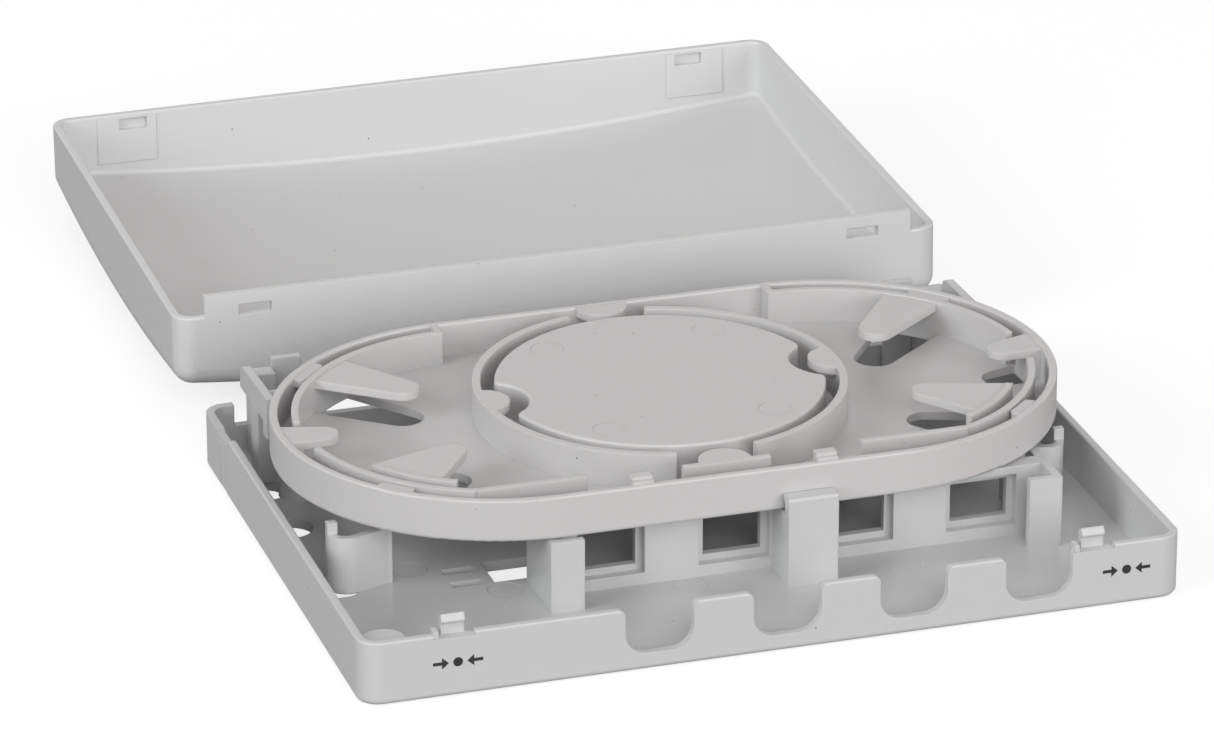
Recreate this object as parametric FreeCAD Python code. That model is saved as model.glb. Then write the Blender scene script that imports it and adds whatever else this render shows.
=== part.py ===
import FreeCAD, Part
import math
import os

from FreeCAD import Vector

# Fibre termination box: a wall box for four fibre adapters, shown open.
# Three mouldings: the base, the splice tray that hinges on it, and the cover,
# which lies upside down on its crown behind the base.
# The origin is the middle of the base's wall face, +X right, +Y to the rear, +Z up.

# Case outline, shared by the base and the cover
LENGTH = 150.0
DEPTH = 110.0
CORNER_RADIUS = 4.0
WALL = 1.6

# How far a cutter runs past the face it cuts
PAST = 1.0

# Base
FLOOR = 2.0
BASE_HEIGHT = 11.8
BASE_EDGE_ROUND = 1.0
RIM_ROUND = 0.35
REAR_CORNER_WIDTH = 5.8
REAR_CORNER_DROP = 1.2
REAR_CORNER_RUN = 19.5
REAR_WALL_HEIGHT = 6.5
CORNER_BOSS_RADIUS = 3.9
CORNER_BOSS_HEIGHT = 10.0
SIDE_RECESS_INSET = 13.0
SIDE_RECESS_LENGTH = 5.0
SIDE_RECESS_DEPTH = 0.35
SIDE_RECESS_DROP = 0.5

# Ports: cable notches in the front wall, adapter windows behind them
PORT_COUNT = 4
PORT_PITCH = 23.2
PORT_SHIFT = 13.1
NOTCH_WIDTH = 12.3
NOTCH_FLOOR = 3.2
NOTCH_ROUND = 4.0
NOTCH_LIP_ROUND = 1.3
HOLDER_BEHIND_RIM = 6.0
HOLDER_THICKNESS = 3.3
WINDOW_WIDTH = 13.1
WINDOW_SILL = 4.2
WINDOW_HEIGHT = 9.6
WINDOW_FRAME = 1.2
WINDOW_FRAME_DEPTH = 1.7
POST_WIDTH = 6.2
POST_REACH = 6.9
POST_TAIL = 4.7
POST_WALL = 1.5
LATCH_WIDTH = 9.3
LATCH_THICKNESS = 2.2
LATCH_RISE = 3.2
LATCH_LIP = 0.7

# Snap hooks behind the front wall, and the cover's pockets for them
HOOK_INSET = 16.7
HOOK_WIDTH = 4.2
HOOK_THICKNESS = 1.3
HOOK_RISE = 3.1
HOOK_BARB = 0.7
HOOK_BARB_HEIGHT = 1.8
HOOK_LEDGE = 7.4
HOOK_LEDGE_DEPTH = 1.5
HOOK_LEDGE_DROP = 0.7
HOOK_NUB_WIDTH = 1.0
HOOK_NUB_RISE = 0.6
HOOK_POCKET_SIDE = 0.7
HOOK_POCKET_MARGIN = 0.25

# Rear tongues on the base, and the cover's slots for them
TONGUE_INSET = 15.4
TONGUE_WIDTH = 5.4
TONGUE_THICKNESS = 1.6
TONGUE_SETBACK = 2.2
TONGUE_TOP = 19.9
SLOT_SIDE = 0.45
SLOT_HEIGHT = 2.0
SLOT_BELOW_RIM = 0.3
SLOT_MARGIN = 0.2

# Floor openings; places count from the case's left side and its front or rear
PASSAGE_LENGTH = 11.0
PASSAGE_DEPTH = 8.7
PASSAGE_FROM_LEFT = 40.3
PASSAGE_FROM_FRONT = 42.3
SIDE_HOLE_RADIUS = 4.4
SIDE_HOLE_FROM_LEFT = 6.2
SIDE_HOLE_FROM_REAR = 38.8
SIDE_SLOT_RADIUS = 3.0
SIDE_SLOT_FROM_LEFT = 3.0
FRONT_SIDE_SLOT = (8.5, 10.0)
FRONT_SIDE_SLOT_FROM_FRONT = 40.0
REAR_SIDE_SLOT = (6.8, 8.4)
REAR_SIDE_SLOT_FROM_REAR = 17.4
TIE_SLOT_LENGTH = 5.8
TIE_SLOT_DEPTH = 2.1
TIE_SLOT_FROM_LEFT = 30.0
TIE_SLOTS_FROM_FRONT = (39.0, 44.6)

# Ejector marks: shallow discs on the base's floor, by side, and on the tray's hub
EJECTOR_RADIUS = 3.1
EJECTOR_DEPTH = 0.1
FLOOR_EJECTORS = ((-1, 35.7, 34.4), (-1, 22.0, 47.5), (-1, 67.4, 26.6), (1, 9.6, 27.9))
HUB_EJECTOR_X = 15.5
HUB_EJECTOR_Y = 19.1

# Slack guides on the base's floor, J-shaped in plan; places are those of the round corner
GUIDE_ROUND = 3.5
GUIDE_WALL = 1.4
GUIDE_FLANK_ANGLE = 20.0
GUIDE_FLANK_LENGTH = 6.7
GUIDE_END_WIDTH = 1.9
GUIDE_END_RISE = 2.1
GUIDE_GAP = 0.9
FRONT_GUIDE_FROM_SIDE = 9.5
FRONT_GUIDE_FROM_FRONT = 44.3
REAR_GUIDE_FROM_SIDE = 11.5
REAR_GUIDE_FROM_REAR = 25.3

# Splice tray
TRAY_END_RADIUS = 41.0
TRAY_SIDE_GAP = 2.5
TRAY_REAR_GAP = 4.7
TRAY_HALF_STRAIGHT = LENGTH / 2 - TRAY_SIDE_GAP - TRAY_END_RADIUS
TRAY_Y = DEPTH / 2 - TRAY_REAR_GAP - TRAY_END_RADIUS
TRAY_BOTTOM = 15.7
TRAY_HEIGHT = 8.0
TRAY_FLOOR = 1.6
TRAY_RIM = 1.5
TRAY_EDGE_ROUND = 0.8
SEAT_GAP = 0.3
RING_INSET = 8.5
RING_INNER = TRAY_END_RADIUS - RING_INSET
RING_WALL = 1.5
RING_GAP = 14.6
HUB_SHIFT = 3.5
HUB_Y = TRAY_Y + HUB_SHIFT
HUB_CHANNEL = 2.5
HUB_RADIUS = RING_INNER - HUB_CHANNEL
HUB_WALL = 1.5
HUB_EDGE_ROUND = 0.5
HUB_NOTCH_RADIUS = 8.1
HUB_NOTCH_OFFSET = 3.1
HUB_NOTCH_REACH = HUB_RADIUS + HUB_NOTCH_OFFSET
HUB_NOTCH_ROUND = 1.5
TAB_RADIUS = 4.8
FINGER_THICKNESS = 1.6
FINGER_DROP = 0.3
OPENING_MARGIN = 0.8
FRONT_WALL_INSET = 6.8
FRONT_WALL_LENGTH = 16.2
CLIP_X = 17.0
CLIP_WIDTH = 3.8
CLIP_STEP = 1.0
CLIP_RISE = 1.2

# The tray's left end; angles in degrees about the middle of the round end
TRACK_INSET = 4.6
GUIDE_TRACK = TRAY_END_RADIUS - TRACK_INSET
TRACK_WALL = 1.3
REAR_TRACK_ARC = (90.0, 173.0)
FRONT_TRACK_START = 192.0
FRONT_TRACK_INSET = 7.4
FRONT_TRACK_RUN = 6.1
INNER_TRACK_INSET = 8.0
INNER_TRACK = TRAY_END_RADIUS - INNER_TRACK_INSET
INNER_TRACK_ARC = (212.0, 241.0)
REAR_FINGER_ROOT = (142.0, 125.0)
REAR_FINGER_TURN = 133.0
REAR_FINGER_REACH = 16.3
REAR_FINGER_ROUND = 3.1
SIDE_FINGER_ROOT = (185.5, 174.5)
SIDE_FINGER_TURN = 181.75
SIDE_FINGER_REACH = 7.45
SIDE_FINGER_ROUND = 2.8
SIDE_FINGER_WEB = 2.4
FRONT_FINGER_ROOT = (235.5, 211.0)
FRONT_FINGER_TURN = 228.9
FRONT_FINGER_REACH = 13.2
FRONT_FINGER_ROUND = 2.7
RIM_TABS = ((226.0, 5.0), (137.0, 6.0))
RIM_TAB_GAP = 0.4
RIM_TAB_ROUND = 0.9
RIM_TAB_OPENING_ANGLE = 1.0

# Tray hinge
PIN_RADIUS = 1.1
PIN_CLEARANCE = 0.06
PIN_DEPTH = 0.9
PIN_END_GAP = 0.2
PIN_RISE = 2.8
ARM_GAP = 0.4
ARM_WALL = 1.6
ARM_HALF_HEIGHT = 2.3
ARM_REAR_INSET = 5.8
ARM_REAR = DEPTH / 2 - ARM_REAR_INSET
ARM_LENGTH = 19.4
ARM_FRONT = ARM_REAR - ARM_LENGTH
ARM_TILT = 0.6
PIN_FROM_ARM_FRONT = 5.4
PIN_Y = ARM_FRONT + PIN_FROM_ARM_FRONT
ARM_POST_OFFSET = 6.7
ARM_POST_LENGTH = 5.0
ARM_RIB_DEPTH = 2.0
ARM_LUG_LENGTH = 3.0
ARM_LUG_DROP = 2.7
ARM_PLATE_LENGTH = 5.0
ARM_PLATE_SETBACK = 0.2
ARM_PLATE_DROP = 2.6

# Cover
COVER_X = 0.7
COVER_GAP = 17.0
COVER_TURN = -0.76
COVER_ROLL = -0.52
COVER_PITCH = -0.27
COVER_RIM = 20.7
COVER_SKIN = 2.2
COVER_CROWN_X = 4.2
COVER_CROWN_Y = 3.1
COVER_EDGE_ROUND = 3.6
COVER_INNER_ROUND = 0.9
COVER_TAIL_RISE = 4.0
COVER_TAIL_INSET = 5.7
MOULD_PANEL_SHIFT = 1.3
MOULD_PANEL_WIDTH = 12.2
MOULD_PANEL_RISE = 0.15


def box(x0, x1, y0, y1, z0, z1):
    return Part.makeBox(x1 - x0, y1 - y0, z1 - z0, Vector(x0, y0, z0))


def post(x, y, radius, z0, z1):
    return Part.makeCylinder(radius, z1 - z0, Vector(x, y, z0))


def on_both_sides(shape):
    return [shape, shape.mirror(Vector(0, 0, 0), Vector(1, 0, 0))]


def line(a, b):
    return Part.LineSegment(a, b).toShape()


def arc_through(centre, radius, start, end):
    """Arc about a centre in the XY plane, from one angle to another, in degrees."""
    middle = (start + end) / 2
    points = [polar(centre, radius, angle) for angle in (start, middle, end)]
    return Part.Arc(*points).toShape()


def polar(centre, radius, angle):
    turn = math.radians(angle)
    return centre + Vector(radius * math.cos(turn), radius * math.sin(turn), 0)


def raised(edges, z0, z1):
    """Solid between two heights over an outline drawn in the XY plane."""
    face = Part.Face(Part.Wire(edges))
    face.translate(Vector(0, 0, z0))
    return face.extrude(Vector(0, 0, z1 - z0))


def rounded_block(length, depth, radius, z0, z1):
    """Upright block, centred on the origin, with rounded upright corners."""
    x = length / 2 - radius
    y = depth / 2 - radius
    corners = [Vector(x, y, 0), Vector(-x, y, 0), Vector(-x, -y, 0), Vector(x, -y, 0)]
    edges = []
    for turn, centre in enumerate(corners):
        start = 90 * turn
        edges.append(arc_through(centre, radius, start, start + 90))
        after = corners[(turn + 1) % 4]
        edges.append(line(polar(centre, radius, start + 90), polar(after, radius, start + 90)))
    return raised(edges, z0, z1)


def stadium(half_straight, radius, y, z0, z1):
    """Block with half-round ends."""
    left = Vector(-half_straight, y, 0)
    right = Vector(half_straight, y, 0)
    edges = [
        arc_through(right, radius, -90, 90),
        line(polar(right, radius, 90), polar(left, radius, 90)),
        arc_through(left, radius, 90, 270),
        line(polar(left, radius, 270), polar(right, radius, 270)),
    ]
    return raised(edges, z0, z1)


def curved_wall(centre, radius, thickness, start, end, z0, z1):
    """Wall that follows an arc; radius is that of its middle line."""
    inner = radius - thickness / 2
    outer = radius + thickness / 2
    edges = [
        arc_through(centre, outer, start, end),
        line(polar(centre, outer, end), polar(centre, inner, end)),
        arc_through(centre, inner, end, start),
        line(polar(centre, inner, start), polar(centre, outer, start)),
    ]
    return raised(edges, z0, z1)


def tangent_point(point, centre, radius, side):
    """Where a line from the point touches the circle, on its left or right."""
    reach = centre - point
    spread = math.acos(radius / reach.Length)
    back = math.atan2(-reach.y, -reach.x)
    return polar(centre, radius, math.degrees(back + side * spread))


def finger(root_a, root_b, tip, radius, z0, z1):
    """Flat finger: two root points, tapering to a round tip."""
    from_a = tangent_point(root_a, tip, radius, 1)
    from_b = tangent_point(root_b, tip, radius, -1)
    away = (tip - (root_a + root_b) * 0.5).normalize()
    edges = [
        line(root_a, from_a),
        Part.Arc(from_a, tip + away * radius, from_b).toShape(),
        line(from_b, root_b),
        line(root_b, root_a),
    ]
    return raised(edges, z0, z1)


def edges_at(shape, z, tolerance=0.01):
    """Edges that lie level at one height."""
    found = []
    for edge in shape.Edges:
        bounds = edge.BoundBox
        if abs(bounds.ZMin - z) < tolerance and abs(bounds.ZMax - z) < tolerance:
            found.append(edge)
    return found


def port_places():
    """Middle of each port along X."""
    middle = (PORT_COUNT - 1) / 2
    return [PORT_SHIFT + PORT_PITCH * (number - middle) for number in range(PORT_COUNT)]


# Base

def base_shell():
    """Open tray with a low rear wall between two corner pieces."""
    shell = rounded_block(LENGTH, DEPTH, CORNER_RADIUS, 0, BASE_HEIGHT)
    shell = shell.makeFillet(BASE_EDGE_ROUND, edges_at(shell, 0))
    hollow = rounded_block(
        LENGTH - 2 * WALL, DEPTH - 2 * WALL, CORNER_RADIUS - WALL, FLOOR, BASE_HEIGHT + WALL
    )
    shell = shell.cut(hollow)
    shell = shell.makeFillet(RIM_ROUND, edges_at(shell, BASE_HEIGHT))
    lowered = box(
        -LENGTH, LENGTH, DEPTH / 2 - REAR_CORNER_RUN, DEPTH,
        BASE_HEIGHT - REAR_CORNER_DROP, 2 * BASE_HEIGHT
    )
    middle = LENGTH / 2 - REAR_CORNER_WIDTH
    low_wall = box(
        -middle, middle, DEPTH / 2 - CORNER_RADIUS, DEPTH, REAR_WALL_HEIGHT, 2 * BASE_HEIGHT
    )
    return shell.cut([lowered, low_wall])


def cable_notch(x):
    """Cut for one cable: a U with round corners and softened lips."""
    half = NOTCH_WIDTH / 2
    lip = NOTCH_LIP_ROUND
    low = NOTCH_FLOOR
    corner = NOTCH_ROUND
    top = BASE_HEIGHT
    diagonal = math.sqrt(0.5)

    def at(across, height):
        return Vector(x + across, -DEPTH / 2 - WALL, height)

    edges = [line(at(half + lip, top + WALL), at(-half - lip, top + WALL))]
    for side in (-1, 1):
        outline = [
            line(at(side * (half + lip), top + WALL), at(side * (half + lip), top)),
            Part.Arc(
                at(side * (half + lip), top),
                at(side * (half + lip - lip * diagonal), top - lip + lip * diagonal),
                at(side * half, top - lip),
            ).toShape(),
            line(at(side * half, top - lip), at(side * half, low + corner)),
            Part.Arc(
                at(side * half, low + corner),
                at(side * (half - corner + corner * diagonal), low + corner - corner * diagonal),
                at(side * (half - corner), low),
            ).toShape(),
        ]
        edges = edges + outline
    edges.append(line(at(half - corner, low), at(corner - half, low)))
    face = Part.Face(Part.Wire(Part.__sortEdges__(edges)))
    return face.extrude(Vector(0, 4 * WALL, 0))


def holder_top():
    return TRAY_BOTTOM - SEAT_GAP


def tray_front():
    return TRAY_Y - TRAY_END_RADIUS


def holder_front():
    """Front face of the adapter panel; it carries the tray just behind its front rim."""
    return tray_front() + HOLDER_BEHIND_RIM


def adapter_holder():
    """Panel with one stepped window for each port, and a post at each end."""
    front = holder_front()
    span = PORT_PITCH * (PORT_COUNT - 1) / 2 + WINDOW_WIDTH / 2 + POST_WIDTH
    low = FLOOR / 2
    top = holder_top()
    pieces = [
        box(PORT_SHIFT - span, PORT_SHIFT + span, front, front + HOLDER_THICKNESS, low, top)
    ]
    for side in (-1, 1):
        outer = PORT_SHIFT + side * span
        inner = outer - side * POST_WALL
        near = outer - side * POST_WIDTH
        x0, x1 = sorted((outer, inner))
        rear = front + HOLDER_THICKNESS + POST_TAIL
        pieces.append(box(x0, x1, front - POST_REACH, rear, low, top))
        x0, x1 = sorted((outer, near))
        plate = (front - POST_REACH, front - POST_REACH + POST_WALL)
        pieces.append(box(x0, x1, plate[0], plate[1], low, top))
    holder = pieces[0].fuse(pieces[1:]).removeSplitter()
    return holder.cut([window_cut(x, front) for x in port_places()])


def window_cut(x, front):
    """Window for one adapter: its mouth, and a smaller opening behind a frame."""
    half = WINDOW_WIDTH / 2
    sill = WINDOW_SILL
    head = sill + WINDOW_HEIGHT
    mouth = box(x - half, x + half, front - WALL, front + WINDOW_FRAME_DEPTH, sill, head)
    frame = WINDOW_FRAME
    inner = box(
        x - half + frame, x + half - frame,
        front, front + HOLDER_THICKNESS + WALL, sill + frame, head - frame
    )
    return mouth.fuse(inner)


def tray_latch():
    """Springy post in the middle of the holder, with a lip towards the tray's rim."""
    rim = tray_front()
    front = rim - SEAT_GAP - LATCH_LIP - LATCH_THICKNESS
    x0 = PORT_SHIFT - LATCH_WIDTH / 2
    x1 = PORT_SHIFT + LATCH_WIDTH / 2
    top = TRAY_BOTTOM + LATCH_RISE
    profile = [
        Vector(x0, front, FLOOR / 2),
        Vector(x0, front, top - LATCH_LIP / 2),
        Vector(x0, front + LATCH_LIP / 2, top),
        Vector(x0, rim - SEAT_GAP / 2, top),
        Vector(x0, rim - SEAT_GAP / 2, top - LATCH_LIP),
        Vector(x0, front + LATCH_THICKNESS, top - 2 * LATCH_LIP),
        Vector(x0, front + LATCH_THICKNESS, FLOOR / 2),
    ]
    blade = Part.Face(Part.makePolygon(profile + profile[:1])).extrude(Vector(x1 - x0, 0, 0))
    ribs = []
    for x in (x0, x1 - POST_WALL):
        ribs.append(
            box(x, x + POST_WALL, front, holder_front() + WALL, FLOOR / 2, holder_top())
        )
    return blade.fuse(ribs)


def snap_hook(x):
    """Springy tongue with a barb towards the front, on a ledge behind the wall."""
    wall = -DEPTH / 2 + WALL
    back = wall + HOOK_LEDGE_DEPTH
    top = BASE_HEIGHT + HOOK_RISE
    barb = top - HOOK_BARB_HEIGHT
    x0 = x - HOOK_WIDTH / 2
    front = back - HOOK_THICKNESS
    profile = [
        Vector(x0, back, FLOOR / 2),
        Vector(x0, back, top - HOOK_BARB),
        Vector(x0, front, top),
        Vector(x0, front - HOOK_BARB, barb + HOOK_BARB),
        Vector(x0, front - HOOK_BARB, barb + HOOK_BARB / 2),
        Vector(x0, front, barb),
        Vector(x0, front, FLOOR / 2),
    ]
    tongue = Part.Face(Part.makePolygon(profile + profile[:1])).extrude(Vector(HOOK_WIDTH, 0, 0))
    ledge_x = hook_ledge_start(x)
    front_face = -DEPTH / 2 + RIM_ROUND
    ledge = box(
        ledge_x, ledge_x + HOOK_LEDGE, wall - WALL / 2, back - HOOK_THICKNESS / 2,
        BASE_HEIGHT / 2, BASE_HEIGHT - HOOK_LEDGE_DROP
    )
    nub = box(
        ledge_x, ledge_x + HOOK_NUB_WIDTH, front_face, back - HOOK_THICKNESS / 2,
        BASE_HEIGHT / 2, BASE_HEIGHT + HOOK_NUB_RISE
    )
    return tongue.fuse([ledge, nub])


def hook_ledge_start(x):
    return x - HOOK_WIDTH / 2 - HOOK_NUB_WIDTH - HOOK_POCKET_SIDE


def hook_dip(x):
    """Shallow dip in the top of the front wall, in front of a snap hook."""
    start = hook_ledge_start(x)
    return box(
        start, start + HOOK_LEDGE, -DEPTH, -DEPTH / 2 + 2 * WALL,
        BASE_HEIGHT - HOOK_LEDGE_DROP, 2 * BASE_HEIGHT
    )


def rear_tongue():
    """Tongue behind the rear wall; its barb catches in a slot of the cover (left side)."""
    x = TONGUE_INSET - LENGTH / 2
    x0 = x - TONGUE_WIDTH / 2
    outer = DEPTH / 2 - TONGUE_SETBACK
    inner = outer - TONGUE_THICKNESS
    nose = DEPTH / 2 - WALL / 2
    slot_top = closed_height() - COVER_RIM + SLOT_BELOW_RIM
    high = slot_top - SLOT_MARGIN
    low = slot_top - SLOT_HEIGHT + SLOT_MARGIN
    profile = [
        Vector(x0, inner, FLOOR / 2),
        Vector(x0, outer, FLOOR / 2),
        Vector(x0, outer, low),
        Vector(x0, nose, low),
        Vector(x0, nose, low + SLOT_MARGIN),
        Vector(x0, outer, high),
        Vector(x0, outer, TONGUE_TOP),
        Vector(x0, inner, TONGUE_TOP),
    ]
    face = Part.Face(Part.makePolygon(profile + profile[:1]))
    return face.extrude(Vector(TONGUE_WIDTH, 0, 0))


def arm_inside():
    """Inner face of the arm, clear of the tray's round end where that is widest beside it."""
    across = ARM_FRONT - TRAY_Y
    return -TRAY_HALF_STRAIGHT - math.sqrt(TRAY_END_RADIUS ** 2 - across ** 2) - ARM_GAP


def hinge_arm():
    """Arm beside the tray's end on its upright, bored for the tray's pin (left side)."""
    inside = arm_inside()
    outer = inside - ARM_WALL
    axis = TRAY_BOTTOM + PIN_RISE
    half = ARM_HALF_HEIGHT
    low = axis - half
    high = axis + half
    diagonal = math.sqrt(0.5)

    def at(y, z):
        return Vector(outer, y, z)

    edges = [
        line(at(ARM_FRONT, low - ARM_LUG_DROP), at(ARM_FRONT, high + ARM_TILT)),
        line(at(ARM_FRONT, high + ARM_TILT), at(ARM_REAR - half, high)),
        Part.Arc(
            at(ARM_REAR - half, high),
            at(ARM_REAR - half + half * diagonal, high - half + half * diagonal),
            at(ARM_REAR, high - half),
        ).toShape(),
        line(at(ARM_REAR, high - half), at(ARM_REAR, low)),
        line(at(ARM_REAR, low), at(ARM_FRONT + ARM_LUG_LENGTH, low)),
        line(
            at(ARM_FRONT + ARM_LUG_LENGTH, low), at(ARM_FRONT + ARM_LUG_LENGTH, low - ARM_LUG_DROP)
        ),
        line(
            at(ARM_FRONT + ARM_LUG_LENGTH, low - ARM_LUG_DROP), at(ARM_FRONT, low - ARM_LUG_DROP)
        ),
    ]
    arm = Part.Face(Part.Wire(edges)).extrude(Vector(ARM_WALL, 0, 0))
    post_front = ARM_FRONT + ARM_POST_OFFSET
    post_rear = post_front + ARM_POST_LENGTH
    upright = box(outer, inside, post_front, post_rear, FLOOR / 2, axis)
    plate_front = ARM_REAR - ARM_WALL / 2
    plate_rear = DEPTH / 2 - TONGUE_SETBACK - TONGUE_THICKNESS / 2
    plate_start = inside + ARM_PLATE_SETBACK
    plate_top = high - ARM_PLATE_DROP
    cross = box(
        plate_start, inside + ARM_PLATE_LENGTH, plate_front, plate_rear, FLOOR / 2, plate_top
    )
    cross_root = box(
        outer + ARM_WALL / 2, plate_start + ARM_WALL, plate_front, plate_rear, low, plate_top
    )
    ribs = []
    for y in (post_front, post_rear - ARM_WALL):
        ribs.append(box(outer, inside + ARM_RIB_DEPTH, y, y + ARM_WALL, FLOOR / 2, low))
    bore = Part.makeCylinder(
        PIN_RADIUS + PIN_CLEARANCE, ARM_WALL + PIN_DEPTH + PIN_END_GAP,
        Vector(inside - PIN_DEPTH - PIN_END_GAP, PIN_Y, axis), Vector(1, 0, 0)
    )
    return arm.fuse([upright, cross, cross_root] + ribs).cut(bore)


def guide_corners():
    """Middle of each slack guide's round corner, on the left side."""
    return [
        Vector(FRONT_GUIDE_FROM_SIDE - LENGTH / 2, FRONT_GUIDE_FROM_FRONT - DEPTH / 2, 0),
        Vector(REAR_GUIDE_FROM_SIDE - LENGTH / 2, DEPTH / 2 - REAR_GUIDE_FROM_REAR, 0),
    ]


def slack_guide(centre):
    """Guide for the fibre: a round corner, a straight flank, and a taller rib at each end."""
    top = TRAY_BOTTOM - GUIDE_GAP
    low = FLOOR / 2
    inner = GUIDE_ROUND - GUIDE_WALL
    start = 180.0
    end = 270.0 + GUIDE_FLANK_ANGLE
    along = polar(Vector(0, 0, 0), GUIDE_FLANK_LENGTH, GUIDE_FLANK_ANGLE)
    outside = polar(centre, GUIDE_ROUND, end)
    inside = polar(centre, inner, end)
    edges = [
        arc_through(centre, GUIDE_ROUND, start, end),
        line(outside, outside + along),
        line(outside + along, inside + along),
        line(inside + along, inside),
        arc_through(centre, inner, end, start),
        line(polar(centre, inner, start), polar(centre, GUIDE_ROUND, start)),
    ]
    wall = raised(edges, low, top - GUIDE_END_RISE)
    left = centre.x - GUIDE_ROUND
    side_rib = box(
        left, left + GUIDE_END_WIDTH, centre.y - GUIDE_WALL / 2, centre.y + GUIDE_WALL / 2, low, top
    )
    tip = outside + along
    flank_rib = box(
        tip.x - GUIDE_WALL / 2, tip.x + GUIDE_WALL / 2, tip.y, tip.y + GUIDE_END_WIDTH, low, top
    )
    return wall.fuse([side_rib, flank_rib])


def through_floor(x0, x1, y0, y1):
    return box(x0, x1, y0, y1, -FLOOR, FLOOR)


def side_slots():
    """Rounded slots through the floor beside the left wall."""
    x = SIDE_SLOT_FROM_LEFT - LENGTH / 2
    places = (
        (FRONT_SIDE_SLOT, FRONT_SIDE_SLOT_FROM_FRONT + FRONT_SIDE_SLOT[1] / 2 - DEPTH / 2),
        (REAR_SIDE_SLOT, DEPTH / 2 - REAR_SIDE_SLOT_FROM_REAR - REAR_SIDE_SLOT[1] / 2),
    )
    slots = []
    for (width, depth), y in places:
        slot = rounded_block(width, depth, SIDE_SLOT_RADIUS, -FLOOR, FLOOR)
        slot.translate(Vector(x + width / 2, y, 0))
        slots.append(slot)
    return slots


def floor_cuts():
    """Every opening through the floor; what stands over one bridges it."""
    x = PASSAGE_FROM_LEFT - LENGTH / 2
    y = PASSAGE_FROM_FRONT - DEPTH / 2
    cuts = [
        through_floor(
            x - PASSAGE_LENGTH / 2, x + PASSAGE_LENGTH / 2, y - PASSAGE_DEPTH / 2,
            y + PASSAGE_DEPTH / 2
        ),
        post(
            SIDE_HOLE_FROM_LEFT - LENGTH / 2, DEPTH / 2 - SIDE_HOLE_FROM_REAR,
            SIDE_HOLE_RADIUS, -FLOOR, FLOOR
        ),
    ]
    x = TIE_SLOT_FROM_LEFT - LENGTH / 2
    for inset in TIE_SLOTS_FROM_FRONT:
        y = inset - DEPTH / 2
        cuts.append(
            through_floor(
                x - TIE_SLOT_LENGTH / 2, x + TIE_SLOT_LENGTH / 2, y - TIE_SLOT_DEPTH / 2,
                y + TIE_SLOT_DEPTH / 2
            )
        )
    return cuts + side_slots()


def ejector_marks():
    marks = []
    for side, inset, from_front in FLOOR_EJECTORS:
        x = side * (LENGTH / 2 - inset)
        y = from_front - DEPTH / 2
        marks.append(post(x, y, EJECTOR_RADIUS, FLOOR - EJECTOR_DEPTH, FLOOR + EJECTOR_DEPTH))
    return marks


def side_recess():
    """Shallow recess outside a side wall near its rear, with a slightly lower top (left side)."""
    rear = DEPTH / 2 - SIDE_RECESS_INSET
    front = rear - SIDE_RECESS_LENGTH
    top = BASE_HEIGHT - REAR_CORNER_DROP
    return [
        box(-LENGTH, SIDE_RECESS_DEPTH - LENGTH / 2, front, rear, -FLOOR, 2 * BASE_HEIGHT),
        box(
            -LENGTH, 2 * WALL - LENGTH / 2, front - WALL, rear + WALL,
            top - SIDE_RECESS_DROP, 2 * BASE_HEIGHT
        ),
    ]


def base():
    body = base_shell()
    cuts = [cable_notch(x) for x in port_places()] + ejector_marks()
    for recess in side_recess():
        cuts = cuts + on_both_sides(recess)
    hooks = [side * (LENGTH / 2 - HOOK_INSET) for side in (-1, 1)]
    cuts = cuts + [hook_dip(x) for x in hooks]
    body = body.cut(cuts)
    corner = CORNER_BOSS_RADIUS + WALL
    pieces = [
        adapter_holder(),
        tray_latch(),
        post(
            corner - LENGTH / 2, corner - DEPTH / 2, CORNER_BOSS_RADIUS,
            FLOOR / 2, CORNER_BOSS_HEIGHT
        ),
    ]
    pieces = pieces + [snap_hook(x) for x in hooks]
    pieces = pieces + on_both_sides(rear_tongue()) + on_both_sides(hinge_arm())
    for centre in guide_corners():
        pieces = pieces + on_both_sides(slack_guide(centre))
    return body.fuse(pieces).cut(floor_cuts()).removeSplitter()


# Splice tray

def tray_shell():
    top = TRAY_BOTTOM + TRAY_HEIGHT
    shell = stadium(TRAY_HALF_STRAIGHT, TRAY_END_RADIUS, TRAY_Y, TRAY_BOTTOM, top)
    shell = shell.makeFillet(TRAY_EDGE_ROUND, edges_at(shell, TRAY_BOTTOM))
    hollow = stadium(
        TRAY_HALF_STRAIGHT, TRAY_END_RADIUS - TRAY_RIM, TRAY_Y,
        TRAY_BOTTOM + TRAY_FLOOR, top + TRAY_FLOOR
    )
    shell = shell.cut(hollow)
    return shell.makeFillet(RIM_ROUND, edges_at(shell, top))


def hub_solid(radius, notch_radius, z0, z1):
    """Disc with a round notch at the left and the right."""
    disc = post(0, HUB_Y, radius, z0, z1)
    notches = [
        post(side * HUB_NOTCH_REACH, HUB_Y, notch_radius, z0 - PAST, z1 + PAST)
        for side in (-1, 1)
    ]
    return disc.cut(notches)


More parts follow.
